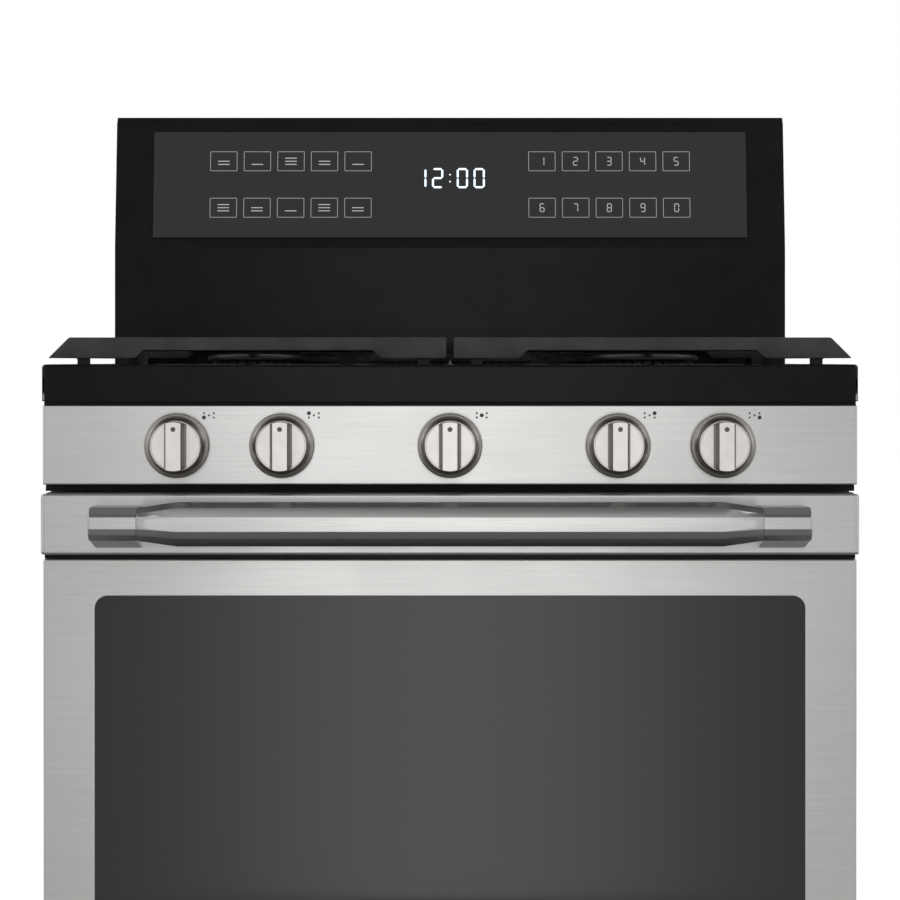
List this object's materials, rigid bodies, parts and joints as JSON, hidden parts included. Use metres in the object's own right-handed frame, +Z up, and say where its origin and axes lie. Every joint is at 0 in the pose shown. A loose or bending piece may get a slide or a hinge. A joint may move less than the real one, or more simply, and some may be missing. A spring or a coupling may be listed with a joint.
{
  "type": "gas range",
  "caption": "Freestanding gas cooking range with a cast-grate cooktop, front knobs, a hinged glazed oven door, a storage drawer and a control backguard.",
  "frame": {"origin": "on the floor, under the middle of the range's whole width and depth, handle included", "axes": "+Z up, +X to the user's right, -Y towards the user, +Y towards the wall"},
  "size_m": [0.759, 0.732, 1.194],
  "materials": {
    "stainless": "brushed",
    "knob_metal": "satin",
    "black_enamel": "gloss",
    "black_paint": "satin",
    "grate_iron": "matte",
    "cap_enamel": "matte",
    "burner_alloy": "cast",
    "galvanised": "satin",
    "oven_enamel": "gloss",
    "bright_steel": "polished",
    "pipe_steel": "satin",
    "regulator_zinc": "cast",
    "dark_glass": "polished",
    "clear_glass": "polished",
    "glass_wool": "fibrous",
    "gasket_braid": "braided",
    "ceramic": "matte",
    "board": "satin",
    "black_plastic": "matte"
  },
  "bodies": {
    "chassis": {"control_panel": "stainless", "cooktop": "black_enamel", "backguard_shell": "black_enamel", "backguard_end_caps": "black_enamel", "side_panel_left": "black_paint", "side_panel_right": "black_paint", "burner_caps": "cap_enamel", "burner_heads": "burner_alloy", "burner_tubes": "burner_alloy", "burner_valves": "burner_alloy", "base_frame": "galvanised", "rear_panel": "galvanised", "backguard_rear_cover": "galvanised", "drawer_guides": "galvanised", "hinge_arms": "galvanised", "burner_box_floor": "galvanised", "oven_bottom_shield": "galvanised", "oven_liner": "oven_enamel", "oven_front_frame": "oven_enamel", "oven_floor_panel": "oven_enamel", "temperature_sensor": "bright_steel", "rear_screws": "bright_steel", "gas_manifold": "pipe_steel", "oven_burners": "pipe_steel", "pressure_regulator": "regulator_zinc", "control_glass": "dark_glass", "oven_lamp": "clear_glass", "oven_insulation": "glass_wool", "oven_gasket": "gasket_braid", "spark_electrodes": "ceramic", "control_board": "board", "power_inlet": "black_plastic", "levelling_legs": "black_plastic"},
    "door": {"door_outer_skin": "stainless", "door_top_rail": "stainless", "door_reveal_strip": "black_enamel", "door_window_glass": "dark_glass", "door_inner_glass": "clear_glass", "door_inner_liner": "oven_enamel", "door_insulation": "glass_wool", "hinge_channels": "galvanised", "handle_bar": "stainless", "handle_brackets": "stainless"},
    "drawer": {"drawer_front": "stainless", "drawer_box": "galvanised", "drawer_runners": "galvanised"},
    "lower_rack": {"oven_rack_lower": "bright_steel"},
    "upper_rack": {"oven_rack_upper": "bright_steel"},
    "left_grate": {"grate_left": "grate_iron"},
    "right_grate": {"grate_right": "grate_iron"},
    "stem_left_outer": {"valve_stem_left_outer": "bright_steel"},
    "dial_left_outer": {"knob_left_outer": "knob_metal"},
    "stem_left_inner": {"valve_stem_left_inner": "bright_steel"},
    "dial_left_inner": {"knob_left_inner": "knob_metal"},
    "stem_centre": {"valve_stem_centre": "bright_steel"},
    "dial_centre": {"knob_centre": "knob_metal"},
    "stem_right_inner": {"valve_stem_right_inner": "bright_steel"},
    "dial_right_inner": {"knob_right_inner": "knob_metal"},
    "stem_right_outer": {"valve_stem_right_outer": "bright_steel"},
    "dial_right_outer": {"knob_right_outer": "knob_metal"}
  },
  "joints": [
    {"name": "door_open", "type": "hinge", "parent": "chassis", "child": "door", "pos_m": [0, -0.262, 0.239], "axis": [1, 0, 0], "range_deg": [0, 88], "stiffness_Nm_per_rad": 9, "springref_deg": -12.03},
    {"name": "drawer_slide", "type": "slide", "parent": "chassis", "child": "drawer", "axis": [0, -1, 0], "range_m": [0, 0.36]},
    {"name": "grate_left_lift", "type": "slide", "parent": "chassis", "child": "left_grate", "axis": [0, 0, 1], "range_m": [0, 0.15]},
    {"name": "grate_right_lift", "type": "slide", "parent": "chassis", "child": "right_grate", "axis": [0, 0, 1], "range_m": [0, 0.15]},
    {"name": "lower_rack_slide", "type": "slide", "parent": "chassis", "child": "lower_rack", "axis": [0, -1, 0], "range_m": [0, 0.03]},
    {"name": "upper_rack_slide", "type": "slide", "parent": "chassis", "child": "upper_rack", "axis": [0, -1, 0], "range_m": [0, 0.03]},
    {"name": "push_left_outer", "type": "slide", "parent": "chassis", "child": "stem_left_outer", "axis": [0, 1, 0], "range_m": [0, 0.003], "stiffness_N_per_m": 1500, "springref_m": -0.001},
    {"name": "turn_left_outer", "type": "hinge", "parent": "stem_left_outer", "child": "dial_left_outer", "pos_m": [-0.2535, -0.296, 0.8385], "axis": [0, -1, 0], "range_deg": [0, 240]},
    {"name": "push_left_inner", "type": "slide", "parent": "chassis", "child": "stem_left_inner", "axis": [0, 1, 0], "range_m": [0, 0.003], "stiffness_N_per_m": 1500, "springref_m": -0.001},
    {"name": "turn_left_inner", "type": "hinge", "parent": "stem_left_inner", "child": "dial_left_inner", "pos_m": [-0.156, -0.296, 0.8385], "axis": [0, -1, 0], "range_deg": [0, 240]},
    {"name": "push_centre", "type": "slide", "parent": "chassis", "child": "stem_centre", "axis": [0, 1, 0], "range_m": [0, 0.003], "stiffness_N_per_m": 1500, "springref_m": -0.001},
    {"name": "turn_centre", "type": "hinge", "parent": "stem_centre", "child": "dial_centre", "pos_m": [0, -0.296, 0.8385], "axis": [0, -1, 0], "range_deg": [0, 240]},
    {"name": "push_right_inner", "type": "slide", "parent": "chassis", "child": "stem_right_inner", "axis": [0, 1, 0], "range_m": [0, 0.003], "stiffness_N_per_m": 1500, "springref_m": -0.001},
    {"name": "turn_right_inner", "type": "hinge", "parent": "stem_right_inner", "child": "dial_right_inner", "pos_m": [0.156, -0.296, 0.8385], "axis": [0, -1, 0], "range_deg": [0, 240]},
    {"name": "push_right_outer", "type": "slide", "parent": "chassis", "child": "stem_right_outer", "axis": [0, 1, 0], "range_m": [0, 0.003], "stiffness_N_per_m": 1500, "springref_m": -0.001},
    {"name": "turn_right_outer", "type": "hinge", "parent": "stem_right_outer", "child": "dial_right_outer", "pos_m": [0.2535, -0.296, 0.8385], "axis": [0, -1, 0], "range_deg": [0, 240]}
  ]
}
